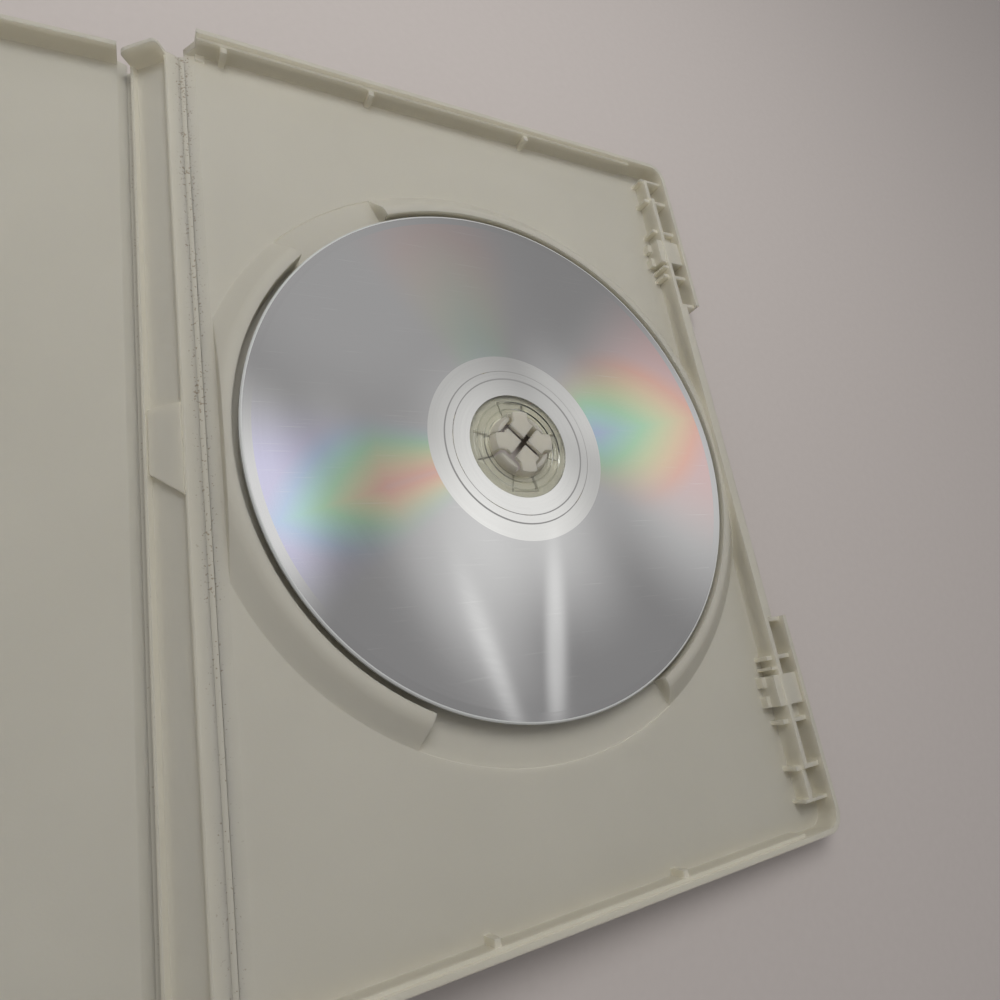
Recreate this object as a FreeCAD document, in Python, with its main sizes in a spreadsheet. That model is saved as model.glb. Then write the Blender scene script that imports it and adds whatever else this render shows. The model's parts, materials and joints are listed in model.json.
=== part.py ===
import FreeCAD, Part
import math
import os
import Sketcher

# Open game disc case. The disc tray, the spine and the front cover are one moulding, joined by two
# thin hinge films. A disc is held on the tray's hub by four springy fingers.
# Each panel is drawn in a frame of its own: x from the hinge axis towards the opening edge,
# y from the lower edge upwards, z from the outer face inwards. Lengths are in millimetres.

SIZES = [
    # case
    ("half_height", 95.0),
    ("hinge_margin", 5.5),
    ("edge_margin", 9.5),
    ("floor_thick", 1.2),
    ("corner_radius", 5.0),
    ("rim_thick", 1.9),
    ("rim_lip_thick", 1.2),
    ("rim_lip_height", 6.6),
    ("rim_ledge_height", 5.6),
    ("rim_ledge_stop", 12.5),
    ("rim_start", 2.4),
    ("rim_gusset_height", 3.3),
    ("rim_clearance", 0.3),
    # hinge films
    ("film_thick", 0.4),
    ("film_reach", 0.5),
    ("film_clearance", 0.02),
    ("taper_reach", 2.6),
    # spine
    ("spine_width", 12.65),
    ("spine_floor_thick", 1.4),
    ("spine_end_gap", 2.3),
    ("spine_rib_inset", 2.0),
    ("spine_rib_thick", 0.6),
    ("spine_rib_foot", 0.8),
    ("spine_rib_height", 2.7),
    ("spine_tab_thick", 1.0),
    ("spine_tab_height", 6.4),
    ("spine_tab_radius", 1.2),
    ("pad_drop", 0.1),
    ("pad_gap", 0.25),
    ("pad_above", 9.6),
    ("pad_below_near", 3.3),
    ("pad_below_far", 8.6),
    # pose of the open case
    ("spine_rise_angle", 36.75),
    # opening edge of the tray
    ("thumb_depth", 4.8),
    ("thumb_half_length", 45.0),
    ("latch_wall_inset", 7.5),
    ("latch_wall_thick", 1.2),
    ("latch_wall_height", 6.3),
    ("latch_wall_share", 0.4263),
    ("latch_rib_thick", 1.0),
    ("latch_rib_height", 5.2),
    ("latch_rib_reach", 1.8),
    ("latch_fin_thick", 0.7),
    ("latch_rib_first_share", 0.2858),
    ("latch_fin_share", 0.3),
    ("latch_block_share", 0.3105),
    ("latch_rib_second_share", 0.3658),
    ("latch_rib_third_share", 0.4221),
    ("latch_rib_last_share", 0.4621),
    ("latch_last_reach", 1.4),
    ("latch_block_length", 7.3),
    ("latch_block_reach", 2.0),
    ("latch_block_height", 5.9),
    ("latch_step_length", 2.6),
    ("latch_step_reach", 3.3),
    ("latch_step_height", 3.2),
    ("latch_shelf_height", 3.6),
    # ribs on the rims
    ("stop_rib_width", 1.3),
    ("stop_rib_depth", 1.4),
    ("stop_rib_height", 5.3),
    ("stop_rib_near", 7.4),
    ("stop_rib_mid", 41.3),
    ("stop_rib_far", 85.5),
    ("nub_width", 1.9),
    ("nub_depth", 1.6),
    ("nub_height", 0.6),
    # disc well
    ("hub_offset", 1.0),
    ("ridge_foot_width", 6.7),
    ("well_depth", 0.3),
    ("ridge_gap", 1.3),
    ("ridge_top_width", 1.9),
    ("ridge_height", 5.1),
    ("ridge_round", 4.0),
    ("left_ridge_start_angle", 137.0),
    ("left_ridge_sweep_angle", 105.0),
    ("right_ridge_start_angle", -64.0),
    ("right_ridge_sweep_angle", 177.0),
    # disc
    ("disc_radius", 60.0),
    ("disc_thick", 1.2),
    ("disc_hole_radius", 7.5),
    ("disc_ring_inner", 16.8),
    ("disc_ring_outer", 18.1),
    ("disc_ring_height", 0.2),
    # hub
    ("seat_height", 3.8),
    ("seat_thick", 1.2),
    ("seat_radius", 15.0),
    ("skirt_radius", 17.0),
    ("skirt_thick", 1.2),
    ("hub_clearance", 0.3),
    ("post_inner", 5.55),
    ("post_height", 6.7),
    ("post_straight", 5.6),
    ("post_tip_inset", 0.7),
    ("finger_gap", 0.5),
    ("finger_root", 10.6),
    ("finger_root_gap", 0.15),
    ("finger_root_half_width", 3.1),
    ("finger_toe", 6.1),
    ("finger_toe_half_width", 2.0),
    ("finger_arm_drop", 0.3),
    ("finger_arm_thick", 0.9),
    ("finger_leg_thick", 1.0),
    ("petal_half_width", 1.9),
    ("petal_tip", 0.85),
    ("petal_shoulder_x", 3.85),
    ("petal_shoulder_y", 3.0),
    ("petal_neck_x", 4.95),
    ("petal_top", 7.5),
    ("petal_thick", 1.0),
    ("lip_overhang", 0.25),
    ("lip_lift", 0.5),
    ("lip_height", 1.2),
]

# Sizes that follow from others: each is the sum of its words. The shares above are parts of the
# case's height.
SUMS = {
    "case_height": ("half_height", "half_height"),
    "panel_width": ("hinge_margin", "disc_radius", "disc_radius", "edge_margin"),
    "hub_x": ("hinge_margin", "disc_radius"),
    "hub_y": ("half_height", "hub_offset"),
    "well_radius": ("disc_radius", "ridge_gap", "ridge_foot_width"),
}

DOC = FreeCAD.newDocument("GameDiscCase")
SHEET = DOC.addObject("Spreadsheet::Sheet", "Sizes")
for row, (alias, number) in enumerate(SIZES, 1):
    SHEET.set("A%d" % row, alias)
    SHEET.set("B%d" % row, str(number))
    SHEET.setAlias("B%d" % row, alias)
DOC.recompute()

X_AXIS = FreeCAD.Vector(1, 0, 0)
Y_AXIS = FreeCAD.Vector(0, 1, 0)
Z_AXIS = FreeCAD.Vector(0, 0, 1)
ORIGIN = FreeCAD.Vector(0, 0, 0)
FULL_TURN = 360.0
ZERO = "0 * case_height"
UPRIGHT = FreeCAD.Rotation(X_AXIS, 90)


def size(alias):
    if alias in SUMS:
        return sum(size(word) for word in SUMS[alias])
    return float(getattr(SHEET, alias))


def bound(text):
    """Turns the sheet's words in a formula into cell names."""
    words = []
    for word in text.split():
        if word in SUMS:
            words.append("( %s )" % bound(" + ".join(SUMS[word])))
        else:
            words.append("Sizes." + word if word[0].isalpha() else word)
    return " ".join(words)


def place_at(obj, corner):
    for axis, text in zip("xyz", corner):
        obj.setExpression("Placement.Base." + axis, bound(text))


def block(name, lengths):
    obj = DOC.addObject("Part::Box", name)
    for prop, text in zip(("Length", "Width", "Height"), lengths):
        obj.setExpression(prop, bound(text))
    return obj


def box(name, corner, lengths):
    obj = block(name, lengths)
    place_at(obj, corner)
    return obj


def cylinder(name, centre, radius, height):
    obj = DOC.addObject("Part::Cylinder", name)
    obj.setExpression("Radius", bound(radius))
    obj.setExpression("Height", bound(height))
    place_at(obj, centre)
    return obj


def cone(name, centre, low_radius, high_radius, height):
    obj = DOC.addObject("Part::Cone", name)
    obj.setExpression("Radius1", bound(low_radius))
    obj.setExpression("Radius2", bound(high_radius))
    obj.setExpression("Height", bound(height))
    place_at(obj, centre)
    return obj


def outline(name, points, rotation=None):
    """Closed sketch of straight lines, each corner tied to the sheet by its two distances."""
    sketch = DOC.addObject("Sketcher::SketchObject", name)
    if rotation:
        sketch.Placement = FreeCAD.Placement(ORIGIN, rotation)
    count = len(points)
    for index in range(count):
        turn = 2 * math.pi / count
        here = FreeCAD.Vector(math.cos(index * turn), math.sin(index * turn), 0)
        there = FreeCAD.Vector(math.cos(index * turn + turn), math.sin(index * turn + turn), 0)
        sketch.addGeometry(Part.LineSegment(here, there), False)
    for index in range(count):
        sketch.addConstraint(Sketcher.Constraint("Coincident", index, 2, (index + 1) % count, 1))
    for index, (across, up) in enumerate(points):
        for kind, text, axis in (("DistanceX", across, -2), ("DistanceY", up, -1)):
            if text == "0":
                sketch.addConstraint(Sketcher.Constraint("PointOnObject", index, 1, axis))
                continue
            number = sketch.addConstraint(Sketcher.Constraint(kind, -1, 1, index, 1, 1.0))
            sketch.setExpression("Constraints[%d]" % number, bound(text))
    DOC.recompute()
    return sketch


def extrude(name, sketch, direction, length):
    obj = DOC.addObject("Part::Extrusion", name)
    obj.Base = sketch
    obj.DirMode = "Custom"
    obj.Dir = direction
    obj.Solid = True
    obj.setExpression("LengthFwd", bound(length))
    return obj


def revolve(name, sketch, sweep):
    obj = DOC.addObject("Part::Revolution", name)
    obj.Source = sketch
    obj.Axis = Z_AXIS
    obj.Base = ORIGIN
    obj.Solid = True
    obj.setExpression("Angle", bound(sweep))
    return obj


def fuse(name, pieces):
    obj = DOC.addObject("Part::MultiFuse", name)
    obj.Shapes = pieces
    obj.Refine = True
    return obj


def cut(name, base, tool):
    obj = DOC.addObject("Part::Cut", name)
    obj.Base = base
    obj.Tool = tool
    obj.Refine = True
    return obj


def common(name, base, tool):
    obj = DOC.addObject("Part::Common", name)
    obj.Base = base
    obj.Tool = tool
    obj.Refine = True
    return obj


def rounded(name, base, radius, wanted):
    DOC.recompute()
    obj = DOC.addObject("Part::Fillet", name)
    obj.Base = base
    edges = [(index, radius, radius) for index, edge in enumerate(base.Shape.Edges, 1) if wanted(edge)]
    obj.Edges = edges
    return obj


# Pose. The front cover lies on the table, the spine rises from it and the tray's opening edge
# comes back down to the table.
AXIS_HEIGHT = size("film_thick") / 2
SPINE = size("spine_width")
PANEL = size("panel_width")
RISE = math.radians(size("spine_rise_angle"))
TILT = math.asin(SPINE * math.sin(RISE) / PANEL)
RUN = SPINE * math.cos(RISE)
REACH = PANEL * math.cos(TILT) + (size("rim_lip_height") - AXIS_HEIGHT) * math.sin(TILT)
MIDDLE = size("half_height")
COVER_AXIS = FreeCAD.Vector((PANEL - RUN - REACH) / 2, -MIDDLE, AXIS_HEIGHT)
TRAY_AXIS = COVER_AXIS + FreeCAD.Vector(RUN, 0, SPINE * math.sin(RISE))
AXIS_IN_PANEL = FreeCAD.Vector(0, 0, AXIS_HEIGHT)


def turned_about(axis_point, degrees):
    """Places a panel's hinge axis at axis_point, with the panel turned about it."""
    rotation = FreeCAD.Rotation(Y_AXIS, degrees)
    return FreeCAD.Placement(axis_point - rotation.multVec(AXIS_IN_PANEL), rotation)


TRAY_PLACE = turned_about(TRAY_AXIS, math.degrees(TILT))
SPINE_PLACE = turned_about(COVER_AXIS, -size("spine_rise_angle"))
HALF_TURN = FreeCAD.Rotation(Z_AXIS, 180)
COVER_PLACE = FreeCAD.Placement(COVER_AXIS + FreeCAD.Vector(0, 2 * MIDDLE, -AXIS_HEIGHT), HALF_TURN)


def panel_floor(name):
    """Flat panel whose hinge margin tapers to the thickness of the hinge film."""
    section = outline(name + "_section", [
        ("film_reach", "0"),
        ("panel_width", "0"),
        ("panel_width", "floor_thick"),
        ("taper_reach", "floor_thick"),
        ("film_reach", "film_thick"),
    ], UPRIGHT)
    slab = extrude(name + "_slab", section, Y_AXIS, "case_height")
    return slab


def corner_tool(name, low):
    """What is taken off the two outer corners of the opening edge."""
    block_y = ZERO if low else "case_height - corner_radius"
    round_y = "corner_radius" if low else "case_height - corner_radius"
    tall = "rim_lip_height * 2"
    corner = box(name + "_block", ("panel_width - corner_radius", block_y, ZERO),
                 ("corner_radius * 2", "corner_radius", tall))
    round_off = cylinder(name + "_round", ("panel_width - corner_radius", round_y, ZERO),
                         "corner_radius", tall)
    return cut(name, corner, round_off)


def rim_corner(name, low, height):
    """The rim's bend round an outer corner of the opening edge."""
    block_y = ZERO if low else "case_height - corner_radius"
    round_y = "corner_radius" if low else "case_height - corner_radius"
    corner = box(name + "_block", ("panel_width - corner_radius", block_y, ZERO),
                 ("corner_radius", "corner_radius", height))
    hollow = cylinder(name + "_hollow", ("panel_width - corner_radius", round_y, ZERO),
                      "corner_radius - rim_lip_thick", height)
    return cut(name, corner, hollow)


# Disc tray: floor, rims, latch pockets, disc well and hub seat.
tray_parts = [panel_floor("tray_floor")]
for side, rim_y, lip_y in (("lower", ZERO, ZERO),
                           ("upper", "case_height - rim_thick", "case_height - rim_lip_thick")):
    tray_parts.append(box("tray_%s_ledge" % side, ("rim_start", rim_y, ZERO),
                          ("panel_width - rim_start - rim_ledge_stop", "rim_thick", "rim_ledge_height")))
    tray_parts.append(box("tray_%s_lip" % side, ("rim_start", lip_y, ZERO),
                          ("panel_width - rim_start", "rim_lip_thick", "rim_lip_height")))
    tray_parts.append(rim_corner("tray_%s_bend" % side, side == "lower", "rim_lip_height"))
    gusset = outline("tray_%s_gusset_side" % side, [
        ("film_reach", "0"),
        ("rim_start", "0"),
        ("rim_start", "rim_gusset_height"),
        ("film_reach", "film_thick"),
    ], UPRIGHT)
    gusset_solid = extrude("tray_%s_gusset" % side, gusset, Y_AXIS, "rim_thick")
    gusset_solid.setExpression("Placement.Base.y", bound(rim_y))
    tray_parts.append(gusset_solid)

WALL_X = "panel_width - latch_wall_inset"
tray_parts.append(box("latch_wall", (WALL_X, "hub_y - latch_wall_share * case_height", ZERO),
                      ("latch_wall_thick", "2 * latch_wall_share * case_height", "latch_wall_height")))
tray_parts.append(box("thumb_wall", (WALL_X, "hub_y - thumb_half_length", ZERO),
                      ("latch_wall_inset - thumb_depth", "2 * thumb_half_length", "latch_wall_height")))

for side, sign in (("lower", "-"), ("upper", "+")):
    def along(place, length):
        if sign == "-":
            return "hub_y - ( %s ) - ( %s )" % (place, length)
        return "hub_y + ( %s )" % place

    def latch_box(part, place, length, reach, depth, height):
        start = "panel_width - latch_wall_inset - %s" % reach
        tray_parts.append(box("%s_%s" % (side, part), (start, along(place, length), ZERO),
                              ("%s + %s" % (depth, reach), length, height)))

    block_place = "latch_block_share * case_height"
    block_end = block_place + " + latch_block_length"
    second_place = "latch_rib_second_share * case_height"
    to_edge = "latch_wall_inset"
    to_pocket = "latch_wall_inset - rim_lip_thick"
    outer_y = ZERO if sign == "-" else "hub_y + thumb_half_length"
    outer_length = "hub_y - thumb_half_length" if sign == "-" else "case_height - hub_y - thumb_half_length"
    tray_parts.append(box(side + "_catch_wall", ("panel_width - rim_lip_thick", outer_y, ZERO),
                          ("rim_lip_thick", outer_length, "rim_lip_height")))
    latch_box("end_wall", "thumb_half_length", "latch_rib_thick", ZERO, to_edge, "latch_rib_height")
    latch_box("first_rib", "latch_rib_first_share * case_height", "latch_rib_thick", "latch_rib_reach",
              to_edge, "latch_rib_height")
    latch_box("fin", "latch_fin_share * case_height", "latch_fin_thick", "latch_rib_reach",
              "latch_wall_thick", "latch_block_height")
    latch_box("block", block_place, "latch_block_length", "latch_block_reach",
              to_pocket + " - rim_clearance", "latch_block_height")
    latch_box("step_one", block_place, "latch_step_length", "latch_step_reach", "latch_wall_thick",
              "latch_step_height")
    latch_box("step_two", block_end + " - latch_step_length", "latch_step_length", "latch_step_reach",
              "latch_wall_thick", "latch_step_height")
    latch_box("shelf", block_end, "%s - ( %s )" % (second_place, block_end), ZERO, to_pocket,
              "latch_shelf_height")
    latch_box("second_rib", second_place, "latch_rib_thick", "latch_rib_reach", to_edge, "latch_rib_height")
    latch_box("third_rib", "latch_rib_third_share * case_height", "latch_rib_thick", "latch_rib_reach",
              to_edge, "latch_rib_height")
    latch_box("wall_end", "latch_wall_share * case_height",
              "( latch_rib_last_share - latch_wall_share ) * case_height", ZERO, "latch_wall_thick",
              "latch_rib_height")
    latch_box("last_rib", "latch_rib_last_share * case_height", "latch_fin_thick", "latch_last_reach",
              to_edge, "latch_rib_height")

STOP_UPPER = "case_height - rim_thick - stop_rib_depth"
for place, stop_x in (("near", "stop_rib_near"), ("mid", "stop_rib_mid"), ("far", "stop_rib_far")):
    for side, stop_y in (("lower", "rim_thick"), ("upper", STOP_UPPER)):
        tray_parts.append(box("stop_rib_%s_%s" % (side, place), (stop_x, stop_y, ZERO),
                              ("stop_rib_width", "stop_rib_depth", "stop_rib_height")))
for side, nub_y in (("lower", "rim_thick"), ("upper", "case_height - rim_thick - nub_depth")):
    tray_parts.append(box("corner_nub_" + side, ("taper_reach", nub_y, ZERO),
                          ("nub_width", "nub_depth", "floor_thick + nub_height")))

# Disc well: a shallow round recess with two sloping ridges round the disc.
well = cylinder("well_round", ("hub_x", "hub_y", "floor_thick - well_depth"), "well_radius", "well_depth * 2")
RIDGE_LEFT = "spine_rib_height - film_thick / 2 + rim_clearance"
well_limit = box("well_limit", (RIDGE_LEFT, "hub_y - 2 * well_radius", ZERO),
                 ("panel_width - latch_wall_inset - ( %s )" % RIDGE_LEFT, "4 * well_radius",
                  "rim_lip_height"))
well_tool = common("well_tool", well, well_limit)
thumb_tool = box("thumb_tool", ("panel_width - thumb_depth", "hub_y - thumb_half_length", ZERO),
                 ("thumb_depth * 2", "2 * thumb_half_length", "rim_lip_height * 2"))
skirt_hole = cylinder("skirt_hole", ("hub_x", "hub_y", ZERO), "skirt_radius - skirt_thick", "floor_thick")
tray_floor_cut = cut("tray_floor_welled", tray_parts[0], well_tool)
tray_floor_cut = cut("tray_floor_open", tray_floor_cut, skirt_hole)

ridges = []
for name, start, sweep in (("left_ridge", "left_ridge_start_angle", "left_ridge_sweep_angle"),
                           ("right_ridge", "right_ridge_start_angle", "right_ridge_sweep_angle")):
    profile = outline(name + "_profile", [
        ("disc_radius + ridge_gap", "floor_thick - well_depth"),
        ("well_radius", "floor_thick - well_depth"),
        ("well_radius", "floor_thick"),
        ("disc_radius + ridge_gap + ridge_top_width", "ridge_height"),
        ("disc_radius + ridge_gap", "ridge_height"),
    ], UPRIGHT)
    swept = revolve(name + "_swept", profile, sweep)
    crest_radius = size("disc_radius") + size("ridge_gap") + size("ridge_top_width")
    crest_height = size("ridge_height")

    def on_crest(edge):
        curve = edge.Curve
        if not hasattr(curve, "Radius"):
            return False
        level = abs(edge.CenterOfMass.z - crest_height) < size("film_clearance")
        return level and abs(curve.Radius - crest_radius) < size("film_clearance")

    ridge = rounded(name + "_rounded", swept, size("ridge_round"), on_crest)
    turn = FreeCAD.Rotation(Z_AXIS, size(start))
    ridge.Placement = FreeCAD.Placement(FreeCAD.Vector(size("hub_x"), size("hub_y"), 0), turn)
    ridges.append(common(name, ridge, well_limit))

# Hub seat: a hollow boss with four posts that centre the disc, cut through for the four fingers.
seat_outer = cone("seat_outer", ("hub_x", "hub_y", ZERO), "skirt_radius", "seat_radius", "seat_height")
seat_inner = cone("seat_inner", ("hub_x", "hub_y", ZERO), "skirt_radius - skirt_thick",
                  "seat_radius - skirt_thick", "seat_height - seat_thick")
seat_cup = cut("seat_cup", seat_outer, seat_inner)
POST_RADIUS = "disc_hole_radius - hub_clearance"
post_low = cylinder("post_low", ("hub_x", "hub_y", "seat_height - seat_thick"), POST_RADIUS,
                    "post_straight - seat_height + seat_thick")
post_high = cone("post_high", ("hub_x", "hub_y", "post_straight"), POST_RADIUS,
                 POST_RADIUS + " - post_tip_inset", "post_height - post_straight")
seat_solid = fuse("seat_solid", [seat_cup, post_low, post_high])
square = block("hub_square", ("2 * post_inner", "2 * post_inner", "petal_top"))
DIAGONAL = FreeCAD.Rotation(Z_AXIS, 45)
hub_point = FreeCAD.Vector(size("hub_x"), size("hub_y"), 0)
half_square = FreeCAD.Vector(size("post_inner"), size("post_inner"), 0)
square.Placement = FreeCAD.Placement(hub_point - DIAGONAL.multVec(half_square), DIAGONAL)
windows = [square]
QUARTERS = (("right", 0), ("top", 90), ("left", 180), ("bottom", 270))
for side, degrees in QUARTERS:
    window = outline("window_%s_plan" % side, [
        ("0", "-1 * petal_half_width - finger_gap"),
        ("finger_toe", "-1 * finger_toe_half_width - finger_gap"),
        ("finger_root + finger_root_gap", "-1 * finger_root_half_width - finger_gap"),
        ("finger_root + finger_root_gap", "finger_root_half_width + finger_gap"),
        ("finger_toe", "finger_toe_half_width + finger_gap"),
        ("0", "petal_half_width + finger_gap"),
    ])
    window_solid = extrude("window_%s" % side, window, Z_AXIS, "petal_top")
    window_solid.Placement = FreeCAD.Placement(hub_point, FreeCAD.Rotation(Z_AXIS, degrees))
    windows.append(window_solid)
seat = cut("hub_seat", seat_solid, fuse("hub_windows", windows))

tray_body = fuse("tray_body", [tray_floor_cut] + tray_parts[1:] + ridges + [seat])
tray_tools = fuse("tray_tools", [thumb_tool, corner_tool("tray_low_corner", True),
                                 corner_tool("tray_high_corner", False)])
disc_tray = cut("disc_tray", tray_body, tray_tools)
disc_tray.Placement = TRAY_PLACE

# Hub fingers: a springy arm in the seat, a leg through the disc's hole, a lip over the disc's edge
# and a petal that is pressed to let the disc go.
fingers = []
for side, degrees in QUARTERS:
    arm_plan = outline("arm_%s_plan" % side, [
        ("finger_toe", "-1 * finger_toe_half_width"),
        ("finger_root", "-1 * finger_root_half_width"),
        ("finger_root", "finger_root_half_width"),
        ("finger_toe", "finger_toe_half_width"),
    ])
    arm = extrude("arm_%s" % side, arm_plan, Z_AXIS, "finger_arm_thick")
    arm.setExpression("Placement.Base.z", bound("seat_height - finger_arm_drop - finger_arm_thick"))
    petal_plan = outline("petal_%s_plan" % side, [
        ("petal_tip", "0"),
        ("petal_shoulder_x", "-1 * petal_shoulder_y"),
        ("petal_neck_x", "-1 * petal_half_width"),
        ("disc_hole_radius", "-1 * petal_half_width"),
        ("disc_hole_radius", "petal_half_width"),
        ("petal_neck_x", "petal_half_width"),
        ("petal_shoulder_x", "petal_shoulder_y"),
    ])
    petal = extrude("petal_%s" % side, petal_plan, Z_AXIS, "petal_thick")
    petal.setExpression("Placement.Base.z", bound("petal_top - petal_thick"))
    leg = box("leg_%s" % side, (POST_RADIUS + " - finger_leg_thick", "-1 * petal_half_width",
                                "seat_height - finger_arm_drop - finger_arm_thick"),
              ("finger_leg_thick * 2", "2 * petal_half_width",
               "petal_top - seat_height + finger_arm_drop + finger_arm_thick"))
    upright = fuse("upright_%s" % side, [petal, leg])
    shank = cylinder("shank_%s" % side, (ZERO, ZERO, ZERO), POST_RADIUS, "petal_top")
    stem = common("stem_%s" % side, upright, shank)
    lip_low = "seat_height + disc_thick + lip_lift"
    lip_cone = cone("lip_cone_%s" % side, (ZERO, ZERO, lip_low), "disc_hole_radius + lip_overhang",
                    POST_RADIUS, "lip_height")
    lip_limit = box("lip_limit_%s" % side, (POST_RADIUS + " - finger_leg_thick", "-1 * petal_half_width",
                                            lip_low),
                    ("finger_leg_thick * 2", "2 * petal_half_width", "lip_height"))
    lip = common("lip_%s" % side, lip_cone, lip_limit)
    finger = fuse("hub_finger_" + side, [arm, stem, lip])
    finger.Placement = TRAY_PLACE.multiply(FreeCAD.Placement(hub_point, FreeCAD.Rotation(Z_AXIS, degrees)))
    fingers.append(finger)

# Disc: a flat ring with a low stacking ring round its middle.
disc_profile = outline("disc_profile", [
    ("disc_hole_radius", "seat_height"),
    ("disc_radius", "seat_height"),
    ("disc_radius", "seat_height + disc_thick"),
    ("disc_ring_outer", "seat_height + disc_thick"),
    ("disc_ring_outer", "seat_height + disc_thick + disc_ring_height"),
    ("disc_ring_inner", "seat_height + disc_thick + disc_ring_height"),
    ("disc_ring_inner", "seat_height + disc_thick"),
    ("disc_hole_radius", "seat_height + disc_thick"),
], UPRIGHT)
disc = DOC.addObject("Part::Revolution", "disc")
disc.Source = disc_profile
disc.Axis = Z_AXIS
disc.Base = ORIGIN
disc.Solid = True
disc.Angle = FULL_TURN
disc.Placement = TRAY_PLACE.multiply(FreeCAD.Placement(hub_point, FreeCAD.Rotation()))

# Spine: a channel with a leaning rib along each hinge, a tab at each end and a pad at mid-height.
spine_section = outline("spine_section", [
    ("film_reach", "0"),
    ("spine_width - film_reach", "0"),
    ("spine_width - film_reach", "film_thick"),
    ("spine_width - spine_rib_inset", "spine_rib_height"),
    ("spine_width - spine_rib_inset - spine_rib_thick", "spine_rib_height"),
    ("spine_width - spine_rib_inset - spine_rib_foot", "spine_floor_thick"),
    ("spine_rib_inset + spine_rib_foot", "spine_floor_thick"),
    ("spine_rib_inset + spine_rib_thick", "spine_rib_height"),
    ("spine_rib_inset", "spine_rib_height"),
    ("film_reach", "film_thick"),
], UPRIGHT)
channel = extrude("spine_channel", spine_section, Y_AXIS, "case_height - 2 * spine_end_gap")
channel.setExpression("Placement.Base.y", bound("spine_end_gap"))
spine_parts = [channel]
for side, tab_y in (("lower", "spine_end_gap"), ("upper", "case_height - spine_end_gap - spine_tab_thick")):
    tab = box("spine_tab_%s_plain" % side, ("spine_rib_inset", tab_y, "spine_floor_thick - film_thick"),
              ("spine_width - 2 * spine_rib_inset", "spine_tab_thick",
               "spine_tab_height - spine_floor_thick + film_thick"))
    tab_top = size("spine_tab_height")

    def on_tab_corner(edge):
        straight = abs(edge.BoundBox.YLength - size("spine_tab_thick")) < size("film_clearance")
        return straight and abs(edge.CenterOfMass.z - tab_top) < size("film_clearance")

    spine_parts.append(rounded("spine_tab_" + side, tab, size("spine_tab_radius"), on_tab_corner))
PAD_NEAR = "spine_rib_inset + spine_rib_foot + pad_gap"
PAD_FAR = "spine_width - spine_rib_inset - spine_rib_foot"
pad_plan = outline("spine_pad_plan", [
    (PAD_NEAR, "half_height - pad_below_near"),
    (PAD_FAR, "half_height - pad_below_far"),
    (PAD_FAR, "half_height + pad_above"),
    (PAD_NEAR, "half_height + pad_above"),
])
spine_parts.append(extrude("spine_pad", pad_plan, Z_AXIS, "spine_rib_height - pad_drop"))
spine = fuse("spine", spine_parts)
spine.Placement = SPINE_PLACE

# Front cover: a shallow tray whose thin rims close on the lips of the disc tray's rims.
COVER_HEIGHT = "spine_width + film_thick - rim_lip_height - rim_clearance"
cover_parts = [panel_floor("cover_floor")]
for side, rim_y in (("lower", ZERO), ("upper", "case_height - rim_lip_thick")):
    cover_parts.append(box("cover_%s_rim" % side, ("rim_start", rim_y, ZERO),
                           ("panel_width - rim_start", "rim_lip_thick", COVER_HEIGHT)))
    cover_parts.append(rim_corner("cover_%s_bend" % side, side == "lower", COVER_HEIGHT))
cover_parts.append(box("cover_edge_rim", ("panel_width - rim_lip_thick", ZERO, ZERO),
                       ("rim_lip_thick", "case_height", COVER_HEIGHT)))
cover_body = fuse("cover_body", cover_parts)
cover_tools = fuse("cover_tools", [corner_tool("cover_low_corner", True),
                                   corner_tool("cover_high_corner", False)])
front_cover = cut("front_cover", cover_body, cover_tools)
front_cover.Placement = COVER_PLACE


def hinge_film(name, axis_point, right_degrees, left_degrees):
    """Thin strip bent round its hinge axis, between the panel on the right and the one on the left."""
    reach = size("film_reach") - size("film_clearance")
    lift = FreeCAD.Vector(0, 0, AXIS_HEIGHT)
    right = FreeCAD.Rotation(Y_AXIS, right_degrees)
    left = FreeCAD.Rotation(Y_AXIS, left_degrees)
    bend = FreeCAD.Rotation(Y_AXIS, (right_degrees + left_degrees) / 2)
    spread = math.cos(math.radians((right_degrees - left_degrees) / 2))
    fold = bend.multVec(lift) * (1 / spread)
    out = FreeCAD.Vector(reach, 0, 0)
    corners = [
        right.multVec(out + lift),
        fold,
        left.multVec(lift - out),
        left.multVec(-lift - out),
        -fold,
        right.multVec(out - lift),
    ]
    corners.append(corners[0])
    face = Part.Face(Part.makePolygon(corners))
    obj = DOC.addObject("Part::Feature", name)
    obj.Shape = face.extrude(FreeCAD.Vector(0, size("case_height") - 2 * size("spine_end_gap"), 0))
    obj.Placement = FreeCAD.Placement(axis_point + FreeCAD.Vector(0, size("spine_end_gap"), 0),
                                      FreeCAD.Rotation())
    return obj


tray_film = hinge_film("tray_hinge_film", TRAY_AXIS, math.degrees(TILT), -size("spine_rise_angle"))
cover_film = hinge_film("cover_hinge_film", COVER_AXIS, -size("spine_rise_angle"), 0.0)

DOC.recompute()
for obj in DOC.Objects:
    if "Invalid" in obj.State or "Error" in obj.State:
        raise RuntimeError("%s did not build: %s" % (obj.Name, obj.State))
os.makedirs("parts", exist_ok=True)
for obj in [disc_tray, disc, spine, front_cover, tray_film, cover_film] + fingers:
    if obj.Shape.isNull() or not obj.Shape.isValid() or len(obj.Shape.Solids) != 1:
        raise RuntimeError("%s is not one sound solid" % obj.Label)
    obj.Shape.exportStep(os.path.join("parts", obj.Label + ".step"))
    box_now = obj.Shape.BoundBox
    print("%-18s volume %9.1f  x %.2f..%.2f  y %.2f..%.2f  z %.2f..%.2f" % (
        obj.Label, obj.Shape.Volume, box_now.XMin, box_now.XMax, box_now.YMin, box_now.YMax,
        box_now.ZMin, box_now.ZMax))
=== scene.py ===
import json
import math

import bmesh
import bpy
from bpy.props import FloatProperty, FloatVectorProperty, PointerProperty
from mathutils import Euler, Matrix, Vector


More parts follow.
